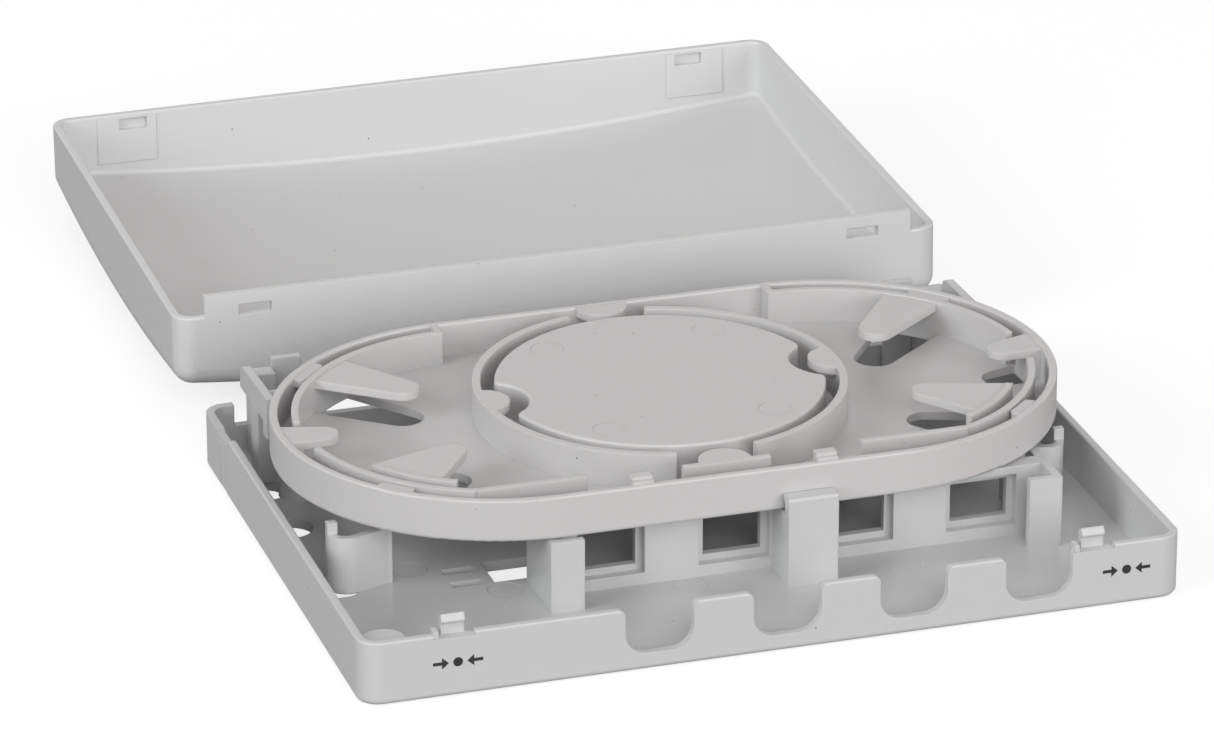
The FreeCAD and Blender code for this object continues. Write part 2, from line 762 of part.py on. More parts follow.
def hub():
    """Winding hub: a disc on a skirt, open underneath."""
    top = TRAY_BOTTOM + TRAY_HEIGHT
    disc = hub_solid(HUB_RADIUS, HUB_NOTCH_RADIUS, TRAY_BOTTOM, top)
    upright = [edge for edge in disc.Edges if edge.BoundBox.ZLength > TRAY_HEIGHT / 2]
    corners = [edge for edge in upright if is_notch_corner(edge)]
    disc = disc.makeFillet(HUB_NOTCH_ROUND, corners)
    disc = disc.makeFillet(HUB_EDGE_ROUND, edges_at(disc, top))
    marks = [
        post(x, HUB_Y + y, EJECTOR_RADIUS, top - EJECTOR_DEPTH, top + EJECTOR_DEPTH)
        for x in (-HUB_EJECTOR_X, HUB_EJECTOR_X) for y in (-HUB_EJECTOR_Y, HUB_EJECTOR_Y)
    ]
    hollow = hub_solid(
        HUB_RADIUS - HUB_WALL, HUB_NOTCH_RADIUS + HUB_WALL, TRAY_BOTTOM - PAST, top - HUB_WALL
    )
    return disc.cut([hollow] + marks)


def is_notch_corner(edge):
    """True for the upright edges where a notch meets the rim of the hub."""
    x = edge.BoundBox.Center.x
    y = edge.BoundBox.Center.y - HUB_Y
    on_rim = abs(math.hypot(x, y) - HUB_RADIUS) < 0.01
    on_notch = abs(math.hypot(abs(x) - HUB_NOTCH_REACH, y) - HUB_NOTCH_RADIUS) < 0.01
    return on_rim and on_notch


def hub_ring():
    """Wall around the hub, open at the front and the rear."""
    floor_top = TRAY_BOTTOM + TRAY_FLOOR / 2
    top = TRAY_BOTTOM + TRAY_HEIGHT
    radius = RING_INNER + RING_WALL / 2
    half_gap = math.degrees(math.asin(RING_GAP / 2 / radius))
    centre = Vector(0, HUB_Y, 0)
    ends = (half_gap - 90, 90 - half_gap)
    half_ring = curved_wall(centre, radius, RING_WALL, ends[0], ends[1], floor_top, top)
    return on_both_sides(half_ring)


def hub_tabs(z0, z1, radius):
    """Round tabs that hold the fibre down around the hub."""
    ring = RING_INNER + RING_WALL / 2
    rear = TRAY_Y + TRAY_END_RADIUS - TRAY_RIM
    front = front_wall_face()
    left = post(-ring, HUB_Y, radius, z0, z1)
    outside = post(0, HUB_Y, ring, z0 - PAST, z1 + PAST)
    sides = [tab.common(outside) for tab in on_both_sides(left)]
    rear_tab = post(0, rear, radius, z0, z1).common(box(-radius, radius, HUB_Y, rear, z0, z1))
    front_tab = post(0, front, radius, z0, z1).common(
        box(-radius, radius, front, HUB_Y, z0, z1)
    )
    return sides + [rear_tab, front_tab]


def end_centre():
    """Middle of the tray's round left end."""
    return Vector(-TRAY_HALF_STRAIGHT, TRAY_Y, 0)


def end_fingers(z0, z1, margin):
    """Three fingers at the tray's left end; margin grows them for the openings below."""
    rim = TRAY_END_RADIUS - TRAY_RIM / 2
    shapes = (
        (GUIDE_TRACK, REAR_FINGER_ROOT, REAR_FINGER_TURN, REAR_FINGER_REACH, REAR_FINGER_ROUND),
        (rim, SIDE_FINGER_ROOT, SIDE_FINGER_TURN, SIDE_FINGER_REACH, SIDE_FINGER_ROUND),
        (INNER_TRACK, FRONT_FINGER_ROOT, FRONT_FINGER_TURN, FRONT_FINGER_REACH,
         FRONT_FINGER_ROUND),
    )
    centre = end_centre()
    fingers = []
    for root_radius, root, turn, reach, tip_round in shapes:
        root_a = polar(centre, root_radius, root[0] + margin)
        root_b = polar(centre, root_radius, root[1] - margin)
        tip = polar(centre, root_radius - reach, turn)
        fingers.append(finger(root_a, root_b, tip, tip_round + margin, z0, z1))
    return fingers


def side_web():
    """Web from the tray's floor up to the side finger, against the rim (left end)."""
    centre = end_centre()
    low = TRAY_BOTTOM + TRAY_FLOOR / 2
    high = finger_top()
    side = end_fingers(low, high, 0)[1]
    inner = TRAY_END_RADIUS - TRAY_RIM - SIDE_FINGER_WEB
    return side.cut(post(centre.x, centre.y, inner, low - PAST, high + PAST))


def finger_top():
    return TRAY_BOTTOM + TRAY_HEIGHT - FINGER_DROP


def rim_tabs(z0, z1, growth):
    """Small round-cornered tabs on the tray's rim, just short of its guide walls (left end)."""
    centre = end_centre()
    outer = TRAY_END_RADIUS - TRAY_RIM / 2
    inner = GUIDE_TRACK + TRACK_WALL / 2 + RIM_TAB_GAP
    tabs = []
    for angle, half in RIM_TABS:
        reach = half + growth
        tab = curved_wall(
            centre, (outer + inner) / 2, outer - inner, angle - reach, angle + reach, z0, z1
        )
        corners = []
        for edge in tab.Edges:
            middle = edge.BoundBox.Center
            away = math.hypot(middle.x - centre.x, middle.y - centre.y)
            if edge.BoundBox.ZLength > (z1 - z0) / 2 and away < (outer + inner) / 2:
                corners.append(edge)
        tabs.append(tab.makeFillet(RIM_TAB_ROUND, corners))
    return tabs


def end_walls():
    """Guide walls at the tray's left end."""
    centre = end_centre()
    low = TRAY_BOTTOM + TRAY_FLOOR / 2
    top = TRAY_BOTTOM + TRAY_HEIGHT
    ahead = TRAY_END_RADIUS - FRONT_TRACK_INSET
    corner = Vector(-math.sqrt(GUIDE_TRACK ** 2 - ahead ** 2), -ahead, 0)
    turn = 360.0 + math.degrees(math.atan2(corner.y, corner.x))
    y = centre.y + corner.y
    rim = TRAY_END_RADIUS - TRAY_RIM / 2
    rear = REAR_TRACK_ARC
    inner = INNER_TRACK_ARC
    return [
        curved_wall(centre, GUIDE_TRACK, TRACK_WALL, rear[0], rear[1], low, top),
        curved_wall(centre, GUIDE_TRACK, TRACK_WALL, FRONT_TRACK_START, turn, low, top),
        box(
            centre.x + corner.x, centre.x + FRONT_TRACK_RUN,
            y - TRACK_WALL / 2, y + TRACK_WALL / 2, low, top
        ),
        curved_wall(centre, INNER_TRACK, TRACK_WALL, inner[0], inner[1], low, top),
        box(
            centre.x - TRACK_WALL, centre.x, centre.y + GUIDE_TRACK, centre.y + rim, low, top
        ),
    ]


def front_wall_face():
    """Rear face of the short wall behind the front rim."""
    return tray_front() + FRONT_WALL_INSET


def front_wall():
    """Short straight wall in front of the ring's gap; it carries the front tab."""
    y = front_wall_face()
    half = FRONT_WALL_LENGTH / 2
    low = TRAY_BOTTOM + TRAY_FLOOR / 2
    return box(-half, half, y - TRACK_WALL, y, low, TRAY_BOTTOM + TRAY_HEIGHT)


def rim_clip(x):
    """Two-step clip just inside the front rim."""
    inside = tray_front() + TRAY_RIM
    top = TRAY_BOTTOM + TRAY_HEIGHT + CLIP_RISE
    low = TRAY_BOTTOM + TRAY_FLOOR / 2
    half = CLIP_WIDTH / 2
    front = box(
        x - half, x + half, inside - TRAY_RIM / 2, inside + CLIP_STEP, low, top - CLIP_RISE / 2
    )
    rear = box(x - half, x + half, inside, inside + 2 * CLIP_STEP, low, top)
    return front.fuse(rear)


def hinge_pin():
    """Stub pin for the arm's bore, on a thicker root at the tray's rim (left side)."""
    tip = arm_inside() - PIN_DEPTH
    root_x = -TRAY_HALF_STRAIGHT - math.sqrt(
        (TRAY_END_RADIUS - TRAY_RIM / 2) ** 2 - (PIN_Y - TRAY_Y) ** 2
    )
    z = TRAY_BOTTOM + PIN_RISE
    pin = Part.makeCylinder(PIN_RADIUS, root_x - tip, Vector(tip, PIN_Y, z), Vector(1, 0, 0))
    shoulder_x = arm_inside() + SEAT_GAP
    shoulder = Part.makeCylinder(
        2 * PIN_RADIUS, root_x - shoulder_x, Vector(shoulder_x, PIN_Y, z), Vector(1, 0, 0)
    )
    return pin.fuse(shoulder)


def tray_openings():
    """Openings through the tray's floor: under the hub, the tabs and the fingers."""
    low = TRAY_BOTTOM - PAST
    high = TRAY_BOTTOM + TRAY_FLOOR + PAST
    cuts = [hub_solid(HUB_RADIUS - HUB_WALL, HUB_NOTCH_RADIUS + HUB_WALL, low, high)]
    cuts = cuts + hub_tabs(low, high, TAB_RADIUS)
    centre = end_centre()
    inside_track = post(centre.x, centre.y, GUIDE_TRACK - TRACK_WALL / 2, low, high)
    inside_rim = post(centre.x, centre.y, TRAY_END_RADIUS - TRAY_RIM, low, high)
    web = TRAY_END_RADIUS - TRAY_RIM - SIDE_FINGER_WEB
    inside_web = post(centre.x, centre.y, web, low, high)
    rear, side, front = end_fingers(low, high, OPENING_MARGIN)
    openings = [rear.common(inside_track), side.common(inside_web), front.common(inside_track)]
    for tab in rim_tabs(low, high, RIM_TAB_OPENING_ANGLE):
        openings.append(tab.common(inside_rim))
    for opening in openings:
        cuts = cuts + on_both_sides(opening)
    return cuts


def splice_tray():
    top = TRAY_BOTTOM + TRAY_HEIGHT
    low = top - FINGER_THICKNESS
    pieces = [hub(), front_wall(), rim_clip(-CLIP_X), rim_clip(CLIP_X)]
    pieces = pieces + hub_ring() + hub_tabs(low, top, TAB_RADIUS)
    high = finger_top()
    end_parts = end_walls() + end_fingers(high - FINGER_THICKNESS, high, 0)
    end_parts = end_parts + rim_tabs(high - FINGER_THICKNESS, high, 0)
    end_parts = end_parts + [side_web(), hinge_pin()]
    for piece in end_parts:
        pieces = pieces + on_both_sides(piece)
    return tray_shell().cut(tray_openings()).fuse(pieces).removeSplitter()


# Cover

def crowned_block(length, depth, corner, lift, edge_round):
    """Rounded block whose underside bulges down, gently, both ways."""
    block = rounded_block(length, depth, corner, 0, COVER_RIM)
    radius_x = radius_for_sag(LENGTH, COVER_CROWN_X)
    radius_y = radius_for_sag(DEPTH, COVER_CROWN_Y)
    reach = DEPTH
    height = radius_y - math.sqrt(radius_y ** 2 - reach ** 2) + lift
    above = COVER_RIM + WALL
    profile = [
        Part.Arc(
            Vector(0, -reach, height), Vector(0, 0, lift), Vector(0, reach, height)
        ).toShape(),
        line(Vector(0, reach, height), Vector(0, reach, above)),
        line(Vector(0, reach, above), Vector(0, -reach, above)),
        line(Vector(0, -reach, above), Vector(0, -reach, height)),
    ]
    face = Part.Face(Part.Wire(profile))
    swing = math.degrees(math.asin((LENGTH / 2 + PAST) / (radius_x - 2 * COVER_RIM)))
    axis_point = Vector(0, 0, radius_x + lift)
    face.rotate(axis_point, Vector(0, 1, 0), -swing)
    bulge = face.revolve(axis_point, Vector(0, 1, 0), 2 * swing)
    block = block.common(bulge)
    low_edges = [edge for edge in block.Edges if edge.BoundBox.ZMax < COVER_RIM - PAST]
    return block.makeFillet(edge_round, low_edges)


def radius_for_sag(span, sag):
    """Radius of an arc that drops by sag over half a span."""
    return (span ** 2 / 4 + sag ** 2) / (2 * sag)


def closed_height():
    """Height of the closed box; the cover's own heights count down from it when shut."""
    return BASE_HEIGHT + COVER_RIM


def cover_slot_cuts():
    """Slots for the base's rear tongues, right through the raised rear wall."""
    cuts = []
    low = COVER_RIM - SLOT_BELOW_RIM
    half = TONGUE_WIDTH / 2 + SLOT_SIDE
    for side in (-1, 1):
        x = side * (LENGTH / 2 - TONGUE_INSET)
        cuts.append(
            box(x - half, x + half, -DEPTH, 2 * WALL - DEPTH / 2, low, low + SLOT_HEIGHT)
        )
    return cuts


def cover():
    outer = crowned_block(LENGTH, DEPTH, CORNER_RADIUS, 0, COVER_EDGE_ROUND)
    inner = crowned_block(
        LENGTH - 2 * WALL, DEPTH - 2 * WALL, CORNER_RADIUS - WALL,
        COVER_SKIN, COVER_INNER_ROUND
    )
    shell = outer.cut(inner)
    shell = shell.makeFillet(RIM_ROUND, edges_at(shell, COVER_RIM))
    tail = LENGTH / 2 - COVER_TAIL_INSET
    back = -DEPTH / 2
    tail_wall = box(
        -tail, tail, back, back + WALL, COVER_RIM - 2 * RIM_ROUND, COVER_RIM + COVER_TAIL_RISE
    )
    additions = [tail_wall]
    pockets = []
    front = DEPTH / 2 - WALL
    half = HOOK_WIDTH / 2 + HOOK_POCKET_SIDE
    low = closed_height() - BASE_HEIGHT - HOOK_RISE - HOOK_POCKET_MARGIN
    high = low + HOOK_BARB_HEIGHT + 2 * HOOK_POCKET_MARGIN
    for side in (-1, 1):
        x = side * (LENGTH / 2 - HOOK_INSET)
        middle = x + side * MOULD_PANEL_SHIFT
        panel = MOULD_PANEL_WIDTH / 2
        additions.append(
            box(
                middle - panel, middle + panel, front - MOULD_PANEL_RISE, front + WALL / 2,
                COVER_RIM / 2, COVER_RIM - 2 * RIM_ROUND
            )
        )
        pockets.append(box(x - half, x + half, front - WALL, front + HOOK_BARB, low, high))
    return shell.fuse(additions).cut(pockets + cover_slot_cuts()).removeSplitter()


def laid_down(shape):
    """The cover as it lies behind the base: turned a little, and rocked on its crown."""
    shape.rotate(Vector(0, 0, 0), Vector(1, 0, 0), COVER_PITCH)
    shape.rotate(Vector(0, 0, 0), Vector(0, 1, 0), COVER_ROLL)
    shape.rotate(Vector(0, 0, 0), Vector(0, 0, 1), COVER_TURN)
    lowest = shape.optimalBoundingBox(False, False).ZMin
    shape.translate(Vector(COVER_X, DEPTH + COVER_GAP, -lowest))
    return shape


def main():
    os.makedirs("parts", exist_ok=True)
    nodes = {"base": base(), "splice_tray": splice_tray(), "cover": laid_down(cover())}
    for name, shape in nodes.items():
        shape.exportStep("parts/" + name + ".step")
        size = shape.BoundBox
        print(name, shape.isValid(), len(shape.Solids), len(shape.Faces), round(shape.Volume),
              [round(v, 1) for v in (size.XMin, size.XMax, size.YMin, size.YMax, size.ZMin,
                                     size.ZMax)])


main()
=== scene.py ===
# %% [markdown]
# # A fibre termination box
# This is a small wall box in which a fibre cable ends. It is three plastic mouldings: a base with
# windows for four adapters, a tray on which the spare fibre is wound, and a cover that has been
# taken off and laid on its back behind the base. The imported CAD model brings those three, at their
# real size and in metres. This lesson gives them their finish, their print, their light and a
# camera.

# %% Load the model
import math
import bpy
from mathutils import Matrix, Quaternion, Vector


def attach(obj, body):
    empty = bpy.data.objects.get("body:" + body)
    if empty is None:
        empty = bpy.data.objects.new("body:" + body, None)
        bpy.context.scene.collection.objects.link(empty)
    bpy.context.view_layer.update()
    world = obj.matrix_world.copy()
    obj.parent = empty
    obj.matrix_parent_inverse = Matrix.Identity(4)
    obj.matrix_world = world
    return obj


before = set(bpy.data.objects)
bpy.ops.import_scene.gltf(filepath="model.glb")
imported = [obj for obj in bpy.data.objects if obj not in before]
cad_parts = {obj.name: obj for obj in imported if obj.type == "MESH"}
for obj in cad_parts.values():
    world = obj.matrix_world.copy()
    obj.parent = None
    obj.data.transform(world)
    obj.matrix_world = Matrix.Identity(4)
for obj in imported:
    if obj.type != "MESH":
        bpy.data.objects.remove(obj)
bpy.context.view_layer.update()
bpy.ops.object.select_all(action="DESELECT")
print("nodes:", sorted(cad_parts))

# %% [markdown]
# ## The camera
# The photograph was taken with a long lens from above the front left. A view can be set by eye,
# but this one was worked out from the box's own straight edges and the tray's round ones, so that
# each part can be compared with the photograph. A long lens keeps the uprights almost parallel.

# %% Place the camera
PHOTO_WIDTH = 1214
FOCAL_IN_PIXELS = 6721.5
SENSOR_WIDTH = 36.0
FARTHEST_SEEN = 50.0
CAMERA_PLACE = Vector((-0.3412, -1.0492, 0.50385))
CAMERA_TURN = math.radians(17.32)
CAMERA_TILT = math.radians(23.27)
CAMERA_ROLL = math.radians(-0.115)


def add_camera():
    data = bpy.data.cameras.new("camera")
    data.sensor_width = SENSOR_WIDTH
    data.lens = FOCAL_IN_PIXELS / PHOTO_WIDTH * SENSOR_WIDTH
    data.clip_end = FARTHEST_SEEN
    camera = bpy.data.objects.new("camera", data)
    bpy.context.scene.collection.objects.link(camera)
    level = Vector((math.sin(CAMERA_TURN), math.cos(CAMERA_TURN), 0))
    aim = level * math.cos(CAMERA_TILT) - Vector((0, 0, math.sin(CAMERA_TILT)))
    roll = Quaternion((0, 0, 1), CAMERA_ROLL)
    camera.rotation_mode = "QUATERNION"
    camera.rotation_quaternion = aim.to_track_quat("-Z", "Y") @ roll
    camera.location = CAMERA_PLACE
    bpy.context.scene.camera = camera
    return camera


camera = add_camera()
print("lens:", round(camera.data.lens, 1), "mm")

# %% [markdown]
# ## Shader maths in Python
# A finish such as moulded plastic is a sum of small patterns. Nodes hold the sums, but they are
# hard to read in code, so this class wraps a node's socket and lets Python's own operators add the
# Math nodes. Every other node comes from its method node. Colours are mixed by mix, as a Math node
# turns them grey.


# %% A socket that can be reckoned with
class Signal:
    def __init__(self, tree, socket=None):
        self.tree = tree
        self.socket = socket

    def node(self, kind, settings=None, sockets=None, output=0):
        """Adds a node, sets it up, and gives back one of its outputs."""
        made = self.tree.nodes.new(kind)
        for name, value in (settings or {}).items():
            setattr(made, name, value)
        for name, value in (sockets or {}).items():
            if isinstance(value, Signal):
                self.tree.links.new(value.socket, made.inputs[name])
            else:
                made.inputs[name].default_value = value
        return Signal(self.tree, made.outputs[output] if made.outputs else None)

    def mix(self, factor, first, second, blend="MIX"):
        """Mixes two colours: a Mix node has them at sockets 6 and 7, and its result at output 2."""
        return self.node(
            "ShaderNodeMix", {"data_type": "RGBA", "blend_type": blend},
            {0: factor, 6: first, 7: second}, output=2
        )

    def math(self, operation, first, second):
        return self.node("ShaderNodeMath", {"operation": operation}, {0: first, 1: second})

    def __add__(self, other):
        return self.math("ADD", self, other)

    __radd__ = __add__

    def __sub__(self, other):
        return self.math("SUBTRACT", self, other)

    def __rsub__(self, other):
        return self.math("SUBTRACT", other, self)

    def __mul__(self, other):
        return self.math("MULTIPLY", self, other)

    __rmul__ = __mul__

    def below(self, limit):
        return self.math("LESS_THAN", self, limit)

    def above(self, limit):
        return self.math("GREATER_THAN", self, limit)


# %% [markdown]
# ## Helpers for every finish
# Each material starts empty, and ends in one principled shader. Patterns are read from the Object
# coordinates: they keep their true size in metres, and stay put on a part when it moves.


# %% Start and end a material
def empty_material(name):
    material = bpy.data.materials.new(name)
    material.use_nodes = True
    material.node_tree.nodes.clear()
    return material, Signal(material.node_tree)


def shade_with(signal, sockets):
    """Ends a material in a principled shader that has these values or links."""
    shader = signal.node("ShaderNodeBsdfPrincipled", None, sockets)
    signal.node("ShaderNodeOutputMaterial", None, {"Surface": shader})


def object_place(signal):
    return signal.node("ShaderNodeTexCoord", output="Object")


def noise(place, scale, detail):
    sockets = {"Vector": place, "Scale": scale, "Detail": detail}
    return place.node("ShaderNodeTexNoise", None, sockets)


def grey(value):
    return value.node("ShaderNodeCombineColor", None, {0: value, 1: value, 2: value})


# %% [markdown]
# ## The colour of moulded plastic
# Up close the pale plastic isn't one flat colour: it drifts a little over the part, and a few dark
# specks of burnt material are caught in it. A painted picture could hold that, but it would
# stretch over the corners, so both come from patterns in space. The drift is soft noise. The
# specks are the middles of Voronoi cells, and each cell's random colour decides whether its speck
# is there at all.

# %% Mix the colour
NOISE_MIDDLE = 0.5
DRIFT_PER_METRE = 22.0
DRIFT_DETAIL = 3.0
DRIFT_SHARE = 0.05
SPECKS_PER_METRE = 600.0
SPECK_RADIUS = 0.00016
SPECK_KEEP = 0.985
SPECK_COLOUR = (0.16, 0.14, 0.12, 1)


def specks(place):
    """1 in the few cells' middles that hold a speck, otherwise 0."""
    sockets = {"Vector": place, "Scale": SPECKS_PER_METRE}
    cells = ("ShaderNodeTexVoronoi", {"feature": "F1"}, sockets)
    near = place.node(*cells)
    lot = place.node(*cells, output="Color")
    chosen = place.node("ShaderNodeSeparateColor", None, {"Color": lot}, output="Red")
    return near.below(SPECK_RADIUS * SPECKS_PER_METRE) * chosen.above(SPECK_KEEP)


def speckled_colour(place, colour):
    drift = noise(place, DRIFT_PER_METRE, DRIFT_DETAIL) - NOISE_MIDDLE
    tinted = place.mix(1.0, (*colour, 1), grey(1.0 + drift * DRIFT_SHARE), blend="MULTIPLY")
    return place.mix(specks(place), tinted, SPECK_COLOUR)


# %% [markdown]
# ## The gloss and the grain
# The steel mould leaves a fine grain on the plastic, which makes the gloss soft and slightly
# uneven. The base's inside came from a smoother half of the mould, so its floor mirrors the posts
# faintly: there the roughness is lower. The grain is too fine to model and goes into a Bump node.
# The CAD edges are sharp, and real ones come out of the mould slightly round. A bevel on the mesh
# would change the CAD nodes, so a Bevel node rounds only their shading, which is what catches the
# light along every rim.

# %% Shape the gloss and the grain
MOTTLE_PER_METRE = 420.0
MOTTLE_DETAIL = 4.0
MOTTLE_SHARE = 0.10
GLOSS_GAIN = 0.17
GRAIN_PER_METRE = 2600.0
GRAIN_DETAIL = 2.0
GRAIN_HEIGHT = 0.000012
EDGE_RADIUS = 0.00035
EDGE_SAMPLES = 4


def inside_of(place, inner_box):
    """1 where the Object coordinate lies in a box, otherwise 0."""
    inside = 1.0
    for axis, (low, high) in enumerate(inner_box):
        along = place.node("ShaderNodeSeparateXYZ", None, {0: place}, output=axis)
        inside = along.above(low) * along.below(high) * inside
    return inside


def uneven_gloss(place, roughness, glossy_box):
    if glossy_box:
        roughness = roughness - inside_of(place, glossy_box) * GLOSS_GAIN
    mottle = noise(place, MOTTLE_PER_METRE, MOTTLE_DETAIL) - NOISE_MIDDLE
    return roughness + mottle * MOTTLE_SHARE


def grain_and_soft_edges(place):
    soft_edge = place.node("ShaderNodeBevel", {"samples": EDGE_SAMPLES}, {"Radius": EDGE_RADIUS})
    grain = noise(place, GRAIN_PER_METRE, GRAIN_DETAIL)
    return place.node(
        "ShaderNodeBump", None,
        {"Height": grain, "Normal": soft_edge, "Strength": 1.0, "Distance": GRAIN_HEIGHT}
    )


# %% [markdown]
# ## The three plastics
# The three mouldings are nearly one grey, but not quite: the tray is a little warmer, and thin
# enough for light to glow in it, and the cover is the glossiest. The cover is also painted paler
# than the base, and that is painted light: its walls lie in the shade of the base and the tray, and
# the paler colour makes up for the light they lack. So one function makes all three, and what
# differs between them stands in a table.

# %% Make the plastics
PLASTIC_IOR = 1.5
GLOW_DEPTH = 0.0012
GLOW_TINT = (1.0, 0.72, 0.62)
BASE_INSIDE = ((-0.0735, 0.0735), (-0.0535, 0.0535), (0.0018, 0.0300))
PLASTICS = {
    "base": {"name": "base_plastic", "colour": (0.585, 0.587, 0.589), "roughness": 0.42,
             "glow": 0.0, "glossy_box": BASE_INSIDE},
    "splice_tray": {"name": "tray_plastic", "colour": (0.585, 0.576, 0.576), "roughness": 0.36,
                    "glow": 0.35},
    # the cover's paler colour is painted light, for the shade that the base and the tray throw on
    # its walls
    "cover": {"name": "cover_plastic", "colour": (0.672, 0.674, 0.675), "roughness": 0.30,
              "glow": 0.0},
}


def moulded_plastic(name, colour, roughness, glow, glossy_box=None):
    material, signal = empty_material(name)
    place = object_place(signal)
    shade_with(signal, {
        "Base Color": speckled_colour(place, colour),
        "Roughness": uneven_gloss(place, roughness, glossy_box),
        "Normal": grain_and_soft_edges(place),
        "IOR": PLASTIC_IOR,
        "Subsurface Weight": glow,
        "Subsurface Radius": GLOW_TINT,
        "Subsurface Scale": GLOW_DEPTH,
    })
    return material


plastics = {node: moulded_plastic(**recipe) for node, recipe in PLASTICS.items()}
for node, material in plastics.items():
    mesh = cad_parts[node].data
    mesh.materials.clear()
    mesh.materials.append(material)
print("plastics on:", sorted(plastics))

# %% [markdown]
# ## Tools for the new pieces
# A new piece is shaped in edit mode, so that its object stays at the origin and its place is in
# its mesh, as the CAD nodes have it. With no window, the rotate operator needs its centre written
# out.


# %% Helpers for edit mode
def edit_mode(on):
    bpy.ops.object.mode_set(mode="EDIT" if on else "OBJECT")


def turn(angle, axis):
    bpy.ops.transform.rotate(value=angle, orient_axis=axis, center_override=(0, 0, 0))


# %% [markdown]
# ## Two joints in the tray's guide walls
# At each end of the tray a round guide wall runs on into a straight one. The CAD walls meet there
# at a slight angle and leave a notch a quarter of a millimetre wide on the outside. The CAD node
# can't be changed here, so a small key closes each notch. It starts as a cube, is stretched and
# bevelled in edit mode, turned half way between the two walls, and stays a hair inside their
# faces.

# %% Close the notches
JOINT_X = 0.04549
JOINT_Y = -0.02428
JOINT_TURN = math.radians(11.3)
JOINT_BOTTOM = 0.0165
KEY_SIZE = (0.00044, 0.00121, 0.00718)
KEY_BEVEL = 0.00006


def wall_key(name, side):
    """The key of the left (-1) or the right (1) joint."""
    bpy.ops.mesh.primitive_cube_add(size=1)
    key = bpy.context.active_object
    key.name = name
    edit_mode(True)
    bpy.ops.transform.resize(value=KEY_SIZE)
    bpy.ops.mesh.bevel(offset=KEY_BEVEL, segments=2)
    turn(-side * JOINT_TURN, "Z")
    bpy.ops.transform.translate(value=(side * JOINT_X, JOINT_Y, JOINT_BOTTOM + KEY_SIZE[2] / 2))
    edit_mode(False)
    key.data.materials.append(plastics["splice_tray"])
    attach(key, "splice_tray")
    return key


keys = [wall_key("wall_key_left", -1), wall_key("wall_key_right", 1)]
bpy.ops.object.select_all(action="DESELECT")
print("keys:", [key.name for key in keys])

# %% [markdown]
# ## The ink of the signs
# The front wall is pressed in at two places to free the cover, and each place is marked in black
# ink. Printed ink is a little thinner in places, so noise varies its colour and its gloss.

# %% Make the ink
INK_NOISE_PER_METRE = 3500.0
INK_NOISE_DETAIL = 2.0
INK_GREY = (0.008, 0.03)
INK_ROUGHNESS = (0.42, 0.15)


def black_ink():
    material, signal = empty_material("black_ink")
    cover = noise(object_place(signal), INK_NOISE_PER_METRE, INK_NOISE_DETAIL)
    shade_with(signal, {
        "Base Color": grey(INK_GREY[0] + cover * INK_GREY[1]),
        "Roughness": INK_ROUGHNESS[0] + cover * INK_ROUGHNESS[1],
    })
    return material


ink = black_ink()
print("ink:", ink.name)

# %% [markdown]
# ## One arrow
# The mark has no words: two arrows point at a dot. An arrow could be cut from text or a curve, but
# edit mode makes it from a square in four steps. The square is stretched into a shaft, its end is
# copied with extrude and made wide, and is drawn out once more and closed to a tip.

# %% Shape an arrow
SHAFT_LENGTH = 0.0016
SHAFT_WIDTH = 0.0006
HEAD_LENGTH = 0.0012
HEAD_WIDTH = 0.0021
DOT_RADIUS = 0.00085
DOT_GAP = 0.0008
SAME_POINT = 0.00001


def ink_arrow(side):
    """One flat arrow that points at the dot from the left (-1) or the right (1)."""
    bpy.ops.mesh.primitive_plane_add(size=1)
    arrow = bpy.context.active_object
    edit_mode(True)
    bpy.ops.transform.resize(value=(SHAFT_LENGTH, SHAFT_WIDTH, 1))
    bpy.ops.transform.translate(value=(SHAFT_LENGTH / 2, 0, 0))
    bpy.ops.mesh.select_mode(type="VERT")
    bpy.ops.mesh.select_all(action="DESELECT")
    edit_mode(False)
    for vertex in arrow.data.vertices:
        vertex.select = vertex.co.x > SHAFT_LENGTH / 2
    edit_mode(True)
    bpy.ops.mesh.select_mode(type="EDGE")
    bpy.ops.mesh.extrude_region_move()
    bpy.ops.transform.resize(value=(1, HEAD_WIDTH / SHAFT_WIDTH, 1))
    bpy.ops.mesh.extrude_region_move(TRANSFORM_OT_translate={"value": (HEAD_LENGTH, 0, 0)})
    bpy.ops.transform.resize(value=(1, 0, 1))
    bpy.ops.mesh.select_all(action="SELECT")
    bpy.ops.mesh.remove_doubles(threshold=SAME_POINT)
    start = -DOT_RADIUS - DOT_GAP - HEAD_LENGTH - SHAFT_LENGTH
    bpy.ops.transform.translate(value=(start, 0, 0))
    if side > 0:
        turn(math.pi, "Z")
    edit_mode(False)
    return arrow


# %% [markdown]
# ## The two signs on the front wall
# The arrows and the dot are joined, turned upright and moved to the wall. A picture on the wall
# would do for one view, but real ink has a thickness, so a Solidify modifier makes the flat shapes
# one thin layer.

# %% Print the signs
SIGN_PLACES = ((-0.05785, 0.00645), (0.06425, 0.00670))
FRONT_FACE = -0.055
INK_THICKNESS = 0.00004
DOT_CORNERS = 40


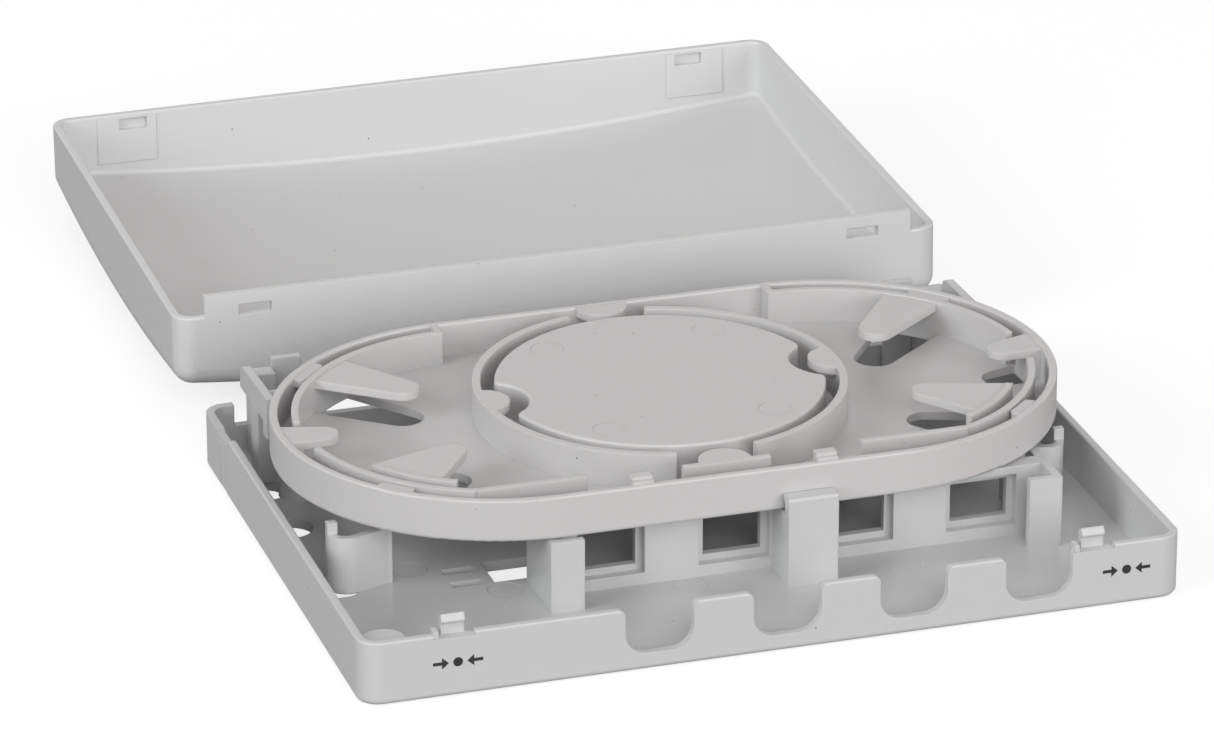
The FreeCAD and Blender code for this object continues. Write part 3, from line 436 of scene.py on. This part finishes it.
def front_sign(name, x, z):
    bpy.ops.mesh.primitive_circle_add(vertices=DOT_CORNERS, radius=DOT_RADIUS, fill_type="NGON")
    dot = bpy.context.active_object
    parts = [ink_arrow(-1), ink_arrow(1), dot]
    bpy.ops.object.select_all(action="DESELECT")
    for part in parts:
        part.select_set(True)
    bpy.context.view_layer.objects.active = dot
    bpy.ops.object.join()
    sign = bpy.context.active_object
    sign.name = name
    edit_mode(True)
    bpy.ops.mesh.select_all(action="SELECT")
    turn(-math.pi / 2, "X")
    bpy.ops.transform.translate(value=(x, FRONT_FACE - INK_THICKNESS / 2, z))
    edit_mode(False)
    layer = sign.modifiers.new("layer", "SOLIDIFY")
    layer.thickness = INK_THICKNESS
    layer.offset = 0
    bpy.ops.object.modifier_apply(modifier="layer")
    edit_mode(True)
    bpy.ops.mesh.select_all(action="SELECT")
    bpy.ops.mesh.normals_make_consistent(inside=False)
    edit_mode(False)
    sign.data.materials.append(ink)
    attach(sign, "base")
    return sign


signs = [
    front_sign("sign_" + side, x, z) for side, (x, z) in zip(("left", "right"), SIGN_PLACES)
]
bpy.ops.object.select_all(action="DESELECT")
print("signs:", [sign.name for sign in signs])

# %% [markdown]
# ## The floor
# In the photograph the ground is white. A floor that is white in itself would throw its light back
# on the box's upright faces and make them too bright. So the floor takes the light as a dull grey,
# and for the camera alone it is lifted to white, with the soft shadow kept.

# %% Make the floor
FLOOR_REACH = 6.0
FLOOR_CORNERS = 96
FLOOR_DROP = 0.0002
FLOOR_COLOUR = (0.34, 0.34, 0.34, 1)
FLOOR_ROUGHNESS = 0.9
FLOOR_LIFT = 0.76


def white_floor():
    material, signal = empty_material("white_floor")
    seen = signal.node("ShaderNodeLightPath", output="Is Camera Ray")
    shade_with(signal, {
        "Base Color": FLOOR_COLOUR,
        "Roughness": FLOOR_ROUGHNESS,
        "Specular IOR Level": 0.0,
        "Emission Color": grey(seen * FLOOR_LIFT),
        "Emission Strength": 1.0,
    })
    return material


bpy.ops.mesh.primitive_circle_add(
    vertices=FLOOR_CORNERS, radius=FLOOR_REACH, fill_type="NGON", location=(0, 0, -FLOOR_DROP)
)
floor = bpy.context.active_object
floor.name = "floor"
floor.data.materials.append(white_floor())
bpy.ops.object.select_all(action="DESELECT")
print("floor:", 2 * FLOOR_REACH, "m across")

# %% [markdown]
# ## The light from all round
# A world of one brightness fills the shade between the lamps. It is dim and slightly warm where it
# lights the box. For the camera, and in what the gloss mirrors, it is white, as the room round a
# white table would be.

# %% Light the world
WORLD_STRENGTH = 0.39
WORLD_COLOUR = (1.0, 0.950, 0.930, 1)
WHITE = (1, 1, 1, 1)


def light_world():
    world = bpy.data.worlds.new("studio")
    bpy.context.scene.world = world
    world.use_nodes = True
    world.node_tree.nodes.clear()
    signal = Signal(world.node_tree)
    path = "ShaderNodeLightPath"
    seen = signal.node(path, output="Is Camera Ray") + signal.node(path, output="Is Glossy Ray")
    white = signal.math("MINIMUM", seen, 1.0)
    background = signal.node("ShaderNodeBackground", None, {
        "Color": signal.mix(white, WORLD_COLOUR, WHITE),
        "Strength": WORLD_STRENGTH + white * (1.0 - WORLD_STRENGTH),
    })
    signal.node("ShaderNodeOutputWorld", None, {"Surface": background})
    return world


print("world:", light_world().name)

# %% [markdown]
# ## The lamps
# The box's upright faces are as bright as its level ones, so most of the light comes from low
# down: from the right of the camera, from the left, and from higher in front. Three large square
# lamps stand there, because a large lamp throws a soft shadow. Their powers were first worked out
# by lighting the box with one lamp at a time and comparing the brightness of some twenty places
# with the photograph.

# %% Hang the lamps
LAMP_SIZE = 1.0
LAMPS = (
    ("low_right_softbox", Vector((0.785, -1.684, 0.395)), 14.5, (1.0, 1.0, 1.0)),
    ("left_softbox", Vector((-1.663, -0.446, 0.803)), 16.0, (0.965, 1.0, 1.01)),
    ("high_front_softbox", Vector((-0.250, -1.580, 1.030)), 11.0, (1.0, 1.0, 1.0)),
)


def add_softbox(name, place, power, colour):
    """A square lamp that faces the origin."""
    data = bpy.data.lights.new(name, "AREA")
    data.color = colour
    data.size = LAMP_SIZE
    data.energy = power
    lamp = bpy.data.objects.new(name, data)
    bpy.context.scene.collection.objects.link(lamp)
    lamp.location = place
    lamp.rotation_mode = "QUATERNION"
    lamp.rotation_quaternion = (-place).to_track_quat("-Z", "Y")


for lamp_row in LAMPS:
    add_softbox(*lamp_row)
bpy.context.scene.view_settings.view_transform = "Standard"
print("lamps:", [lamp_row[0] for lamp_row in LAMPS])
